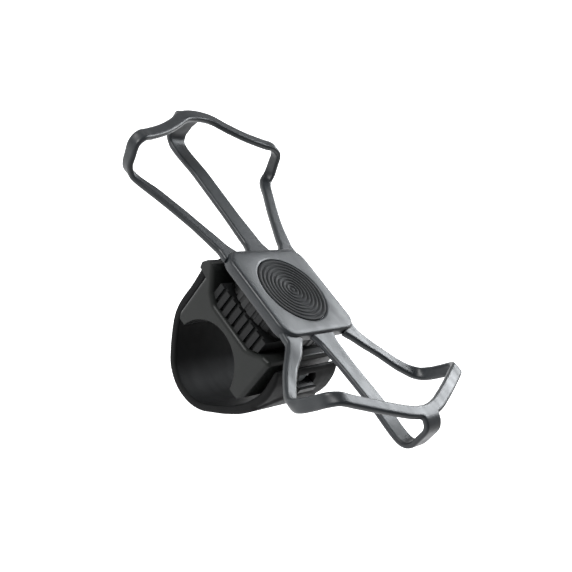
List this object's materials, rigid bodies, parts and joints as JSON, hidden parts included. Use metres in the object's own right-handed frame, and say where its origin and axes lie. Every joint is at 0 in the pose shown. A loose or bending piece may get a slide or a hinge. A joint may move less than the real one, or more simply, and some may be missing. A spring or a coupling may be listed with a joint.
{
  "type": "phone handlebar mount",
  "caption": "Elastic silicone phone tie on a turning saddle clamp, strapped round a handlebar; its end loops stretch over a phone's corners.",
  "frame": {"origin": "on the handlebar's axis, at the middle of the saddle's width", "axes": "+X along the handlebar, towards the phone's right side; +Y towards the phone's top edge; +Z along the turntable's axis, from the handlebar towards the phone"},
  "size_m": [0.0836, 0.1577, 0.071],
  "materials": {
    "saddle_nylon": "fine moulded texture, satin edges",
    "liner_rubber": "matte",
    "damper_rubber": "matte, ribbed",
    "insert_brass": "turned",
    "ring_acetal": "smooth",
    "screw_steel": "blackened",
    "washer_steel": "plain, stamped",
    "turntable_nylon": "fine moulded texture",
    "tie_silicone": "satin silicone",
    "pad_rubber": "matte grip",
    "pin_steel": "ground",
    "strap_rubber": "matte"
  },
  "bodies": {
    "clamp": {"saddle": "saddle_nylon", "saddle_liner": "liner_rubber", "damper_block": "damper_rubber", "pivot_insert": "insert_brass", "friction_ring": "ring_acetal", "pivot_screw": "screw_steel", "disc_spring": "washer_steel", "flat_washer": "washer_steel", "strap_pin": "pin_steel", "strap_hook": "turntable_nylon", "hook_screws": "screw_steel", "bar_strap": "strap_rubber"},
    "turntable": {"turntable": "turntable_nylon", "tie_hub": "tie_silicone", "clamp_plate": "washer_steel", "front_pad": "pad_rubber", "plate_screws": "screw_steel"},
    "top_loop": {"top_loop": "tie_silicone"},
    "bottom_loop": {"bottom_loop": "tie_silicone"},
    "strap_tail": {"strap_tail": "strap_rubber"}
  },
  "joints": [
    {"name": "turntable_turn", "type": "hinge", "parent": "clamp", "child": "turntable", "pos_m": [0, 0, 0.0282], "axis": [0, 0, 1], "continuous": true},
    {"name": "top_loop_stretch", "type": "slide", "parent": "turntable", "child": "top_loop", "axis": [0, 1, 0], "range_m": [0, 0.025], "stiffness_N_per_m": 250},
    {"name": "bottom_loop_stretch", "type": "slide", "parent": "turntable", "child": "bottom_loop", "axis": [0, -1, 0], "range_m": [0, 0.025], "stiffness_N_per_m": 250},
    {"name": "strap_tail_peel", "type": "hinge", "parent": "clamp", "child": "strap_tail", "pos_m": [0, -0.0135, -0.0109], "axis": [1, 0, 0], "range_deg": [0, 55], "stiffness_Nm_per_rad": 0.08}
  ]
}
